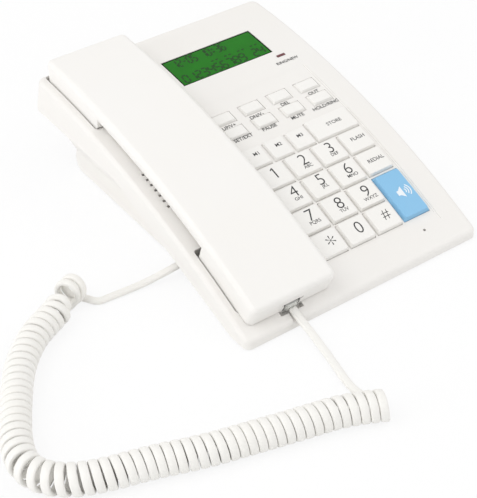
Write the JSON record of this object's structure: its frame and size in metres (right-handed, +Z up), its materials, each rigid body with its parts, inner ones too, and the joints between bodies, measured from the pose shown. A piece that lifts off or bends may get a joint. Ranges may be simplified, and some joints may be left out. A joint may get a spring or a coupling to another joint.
{
  "type": "corded landline phone",
  "caption": "Desk phone with a curved sloping base, number and function keys, a small display, and a handset in its cradle on a curly cord.",
  "frame": {"origin": "on the desk below the middle of the base, level with the underside of its rubber feet", "axes": "+X to the user's right, +Y towards the phone's rear, +Z up"},
  "size_m": [0.281, 0.2865, 0.0697],
  "materials": {
    "body": "satin white",
    "handset": "satin white",
    "keys": "satin white",
    "speaker_key": "satin light blue",
    "window": "clear green",
    "lamp": "clear dark red",
    "display": "grey green",
    "board": "green laminate",
    "membrane": "grey silicone",
    "capsule": "black",
    "jack": "black",
    "switch": "black",
    "feet": "black",
    "screw": "zinc plated",
    "weight": "plain steel",
    "cord": "soft white sheath",
    "plug": "clear"
  },
  "bodies": {
    "base": {"base_top_shell": "body", "base_bottom_shell": "body", "display_window": "window", "display_module": "display", "indicator_lens": "lamp", "main_board": "board", "keypad_board": "board", "keypad_membrane": "membrane", "loudspeaker": "capsule", "base_microphone": "capsule", "base_cord_jack": "jack", "line_jack": "jack", "hook_switch": "switch", "rubber_feet": "feet", "base_screws": "screw", "curly_cord": "cord", "cord_lead_base": "cord", "cord_lead_handset": "cord", "base_plug": "plug"},
    "handset": {"handset_top_shell": "handset", "handset_bottom_shell": "handset", "receiver": "capsule", "handset_microphone": "capsule", "handset_weight": "weight", "handset_jack": "jack", "handset_screws": "screw", "handset_plug": "plug"},
    "hook": {"hook_plunger": "body"},
    "key_1": {"key_1": "keys"},
    "key_2": {"key_2": "keys"},
    "key_3": {"key_3": "keys"},
    "key_flash": {"key_flash": "keys"},
    "key_4": {"key_4": "keys"},
    "key_5": {"key_5": "keys"},
    "key_6": {"key_6": "keys"},
    "key_redial": {"key_redial": "keys"},
    "key_7": {"key_7": "keys"},
    "key_8": {"key_8": "keys"},
    "key_9": {"key_9": "keys"},
    "key_star": {"key_star": "keys"},
    "key_0": {"key_0": "keys"},
    "key_hash": {"key_hash": "keys"},
    "key_m1": {"key_m1": "keys"},
    "key_m2": {"key_m2": "keys"},
    "key_m3": {"key_m3": "keys"},
    "key_store": {"key_store": "keys"},
    "key_speaker": {"key_speaker": "speaker_key"},
    "key_up": {"key_up": "keys"},
    "key_down": {"key_down": "keys"},
    "key_delete": {"key_delete": "keys"},
    "key_out": {"key_out": "keys"},
    "key_set": {"key_set": "keys"},
    "key_pause": {"key_pause": "keys"},
    "key_mute": {"key_mute": "keys"},
    "key_hold": {"key_hold": "keys"}
  },
  "joints": [
    {"name": "handset_lift", "type": "slide", "parent": "base", "child": "handset", "axis": [0, 0, 1], "range_m": [0, 0.03]},
    {"name": "hook_rise", "type": "slide", "parent": "base", "child": "hook", "axis": [0, 0, 1], "range_m": [0, 0.004]},
    {"name": "press_key_1", "type": "slide", "parent": "base", "child": "key_1", "axis": [0, 0.2958, -0.9553], "range_m": [0, 0.0015], "stiffness_N_per_m": 300, "springref_m": -0.0015},
    {"name": "press_key_2", "type": "slide", "parent": "base", "child": "key_2", "axis": [0, 0.2958, -0.9553], "range_m": [0, 0.0015], "stiffness_N_per_m": 300, "springref_m": -0.0015},
    {"name": "press_key_3", "type": "slide", "parent": "base", "child": "key_3", "axis": [0, 0.2958, -0.9553], "range_m": [0, 0.0015], "stiffness_N_per_m": 300, "springref_m": -0.0015},
    {"name": "press_key_flash", "type": "slide", "parent": "base", "child": "key_flash", "axis": [0, 0.2958, -0.9553], "range_m": [0, 0.0015], "stiffness_N_per_m": 300, "springref_m": -0.0015},
    {"name": "press_key_4", "type": "slide", "parent": "base", "child": "key_4", "axis": [0, 0.3265, -0.9452], "range_m": [0, 0.0015], "stiffness_N_per_m": 300, "springref_m": -0.0015},
    {"name": "press_key_5", "type": "slide", "parent": "base", "child": "key_5", "axis": [0, 0.3265, -0.9452], "range_m": [0, 0.0015], "stiffness_N_per_m": 300, "springref_m": -0.0015},
    {"name": "press_key_6", "type": "slide", "parent": "base", "child": "key_6", "axis": [0, 0.3265, -0.9452], "range_m": [0, 0.0015], "stiffness_N_per_m": 300, "springref_m": -0.0015},
    {"name": "press_key_redial", "type": "slide", "parent": "base", "child": "key_redial", "axis": [0, 0.3265, -0.9452], "range_m": [0, 0.0015], "stiffness_N_per_m": 300, "springref_m": -0.0015},
    {"name": "press_key_7", "type": "slide", "parent": "base", "child": "key_7", "axis": [0, 0.357, -0.9341], "range_m": [0, 0.0015], "stiffness_N_per_m": 300, "springref_m": -0.0015},
    {"name": "press_key_8", "type": "slide", "parent": "base", "child": "key_8", "axis": [0, 0.357, -0.9341], "range_m": [0, 0.0015], "stiffness_N_per_m": 300, "springref_m": -0.0015},
    {"name": "press_key_9", "type": "slide", "parent": "base", "child": "key_9", "axis": [0, 0.357, -0.9341], "range_m": [0, 0.0015], "stiffness_N_per_m": 300, "springref_m": -0.0015},
    {"name": "press_key_star", "type": "slide", "parent": "base", "child": "key_star", "axis": [0, 0.3871, -0.9221], "range_m": [0, 0.0015], "stiffness_N_per_m": 300, "springref_m": -0.0015},
    {"name": "press_key_0", "type": "slide", "parent": "base", "child": "key_0", "axis": [0, 0.3871, -0.9221], "range_m": [0, 0.0015], "stiffness_N_per_m": 300, "springref_m": -0.0015},
    {"name": "press_key_hash", "type": "slide", "parent": "base", "child": "key_hash", "axis": [0, 0.3871, -0.9221], "range_m": [0, 0.0015], "stiffness_N_per_m": 300, "springref_m": -0.0015},
    {"name": "press_key_m1", "type": "slide", "parent": "base", "child": "key_m1", "axis": [0, 0.266, -0.964], "range_m": [0, 0.0015], "stiffness_N_per_m": 300, "springref_m": -0.0015},
    {"name": "press_key_m2", "type": "slide", "parent": "base", "child": "key_m2", "axis": [0, 0.266, -0.964], "range_m": [0, 0.0015], "stiffness_N_per_m": 300, "springref_m": -0.0015},
    {"name": "press_key_m3", "type": "slide", "parent": "base", "child": "key_m3", "axis": [0, 0.266, -0.964], "range_m": [0, 0.0015], "stiffness_N_per_m": 300, "springref_m": -0.0015},
    {"name": "press_key_store", "type": "slide", "parent": "base", "child": "key_store", "axis": [0, 0.2645, -0.9644], "range_m": [0, 0.0015], "stiffness_N_per_m": 300, "springref_m": -0.0015},
    {"name": "press_key_speaker", "type": "slide", "parent": "base", "child": "key_speaker", "axis": [0, 0.3719, -0.9283], "range_m": [0, 0.0015], "stiffness_N_per_m": 300, "springref_m": -0.0015},
    {"name": "press_key_up", "type": "slide", "parent": "base", "child": "key_up", "axis": [0, 0.2021, -0.9794], "range_m": [0, 0.0015], "stiffness_N_per_m": 300, "springref_m": -0.0015},
    {"name": "press_key_down", "type": "slide", "parent": "base", "child": "key_down", "axis": [0, 0.2021, -0.9794], "range_m": [0, 0.0015], "stiffness_N_per_m": 300, "springref_m": -0.0015},
    {"name": "press_key_delete", "type": "slide", "parent": "base", "child": "key_delete", "axis": [0, 0.2021, -0.9794], "range_m": [0, 0.0015], "stiffness_N_per_m": 300, "springref_m": -0.0015},
    {"name": "press_key_out", "type": "slide", "parent": "base", "child": "key_out", "axis": [0, 0.2021, -0.9794], "range_m": [0, 0.0015], "stiffness_N_per_m": 300, "springref_m": -0.0015},
    {"name": "press_key_set", "type": "slide", "parent": "base", "child": "key_set", "axis": [0, 0.2252, -0.9743], "range_m": [0, 0.0015], "stiffness_N_per_m": 300, "springref_m": -0.0015},
    {"name": "press_key_pause", "type": "slide", "parent": "base", "child": "key_pause", "axis": [0, 0.2252, -0.9743], "range_m": [0, 0.0015], "stiffness_N_per_m": 300, "springref_m": -0.0015},
    {"name": "press_key_mute", "type": "slide", "parent": "base", "child": "key_mute", "axis": [0, 0.2252, -0.9743], "range_m": [0, 0.0015], "stiffness_N_per_m": 300, "springref_m": -0.0015},
    {"name": "press_key_hold", "type": "slide", "parent": "base", "child": "key_hold", "axis": [0, 0.2252, -0.9743], "range_m": [0, 0.0015], "stiffness_N_per_m": 300, "springref_m": -0.0015}
  ],
  "couplings": [
    {"joint": "hook_rise", "follows": "handset_lift", "ratio": 0.13}
  ]
}
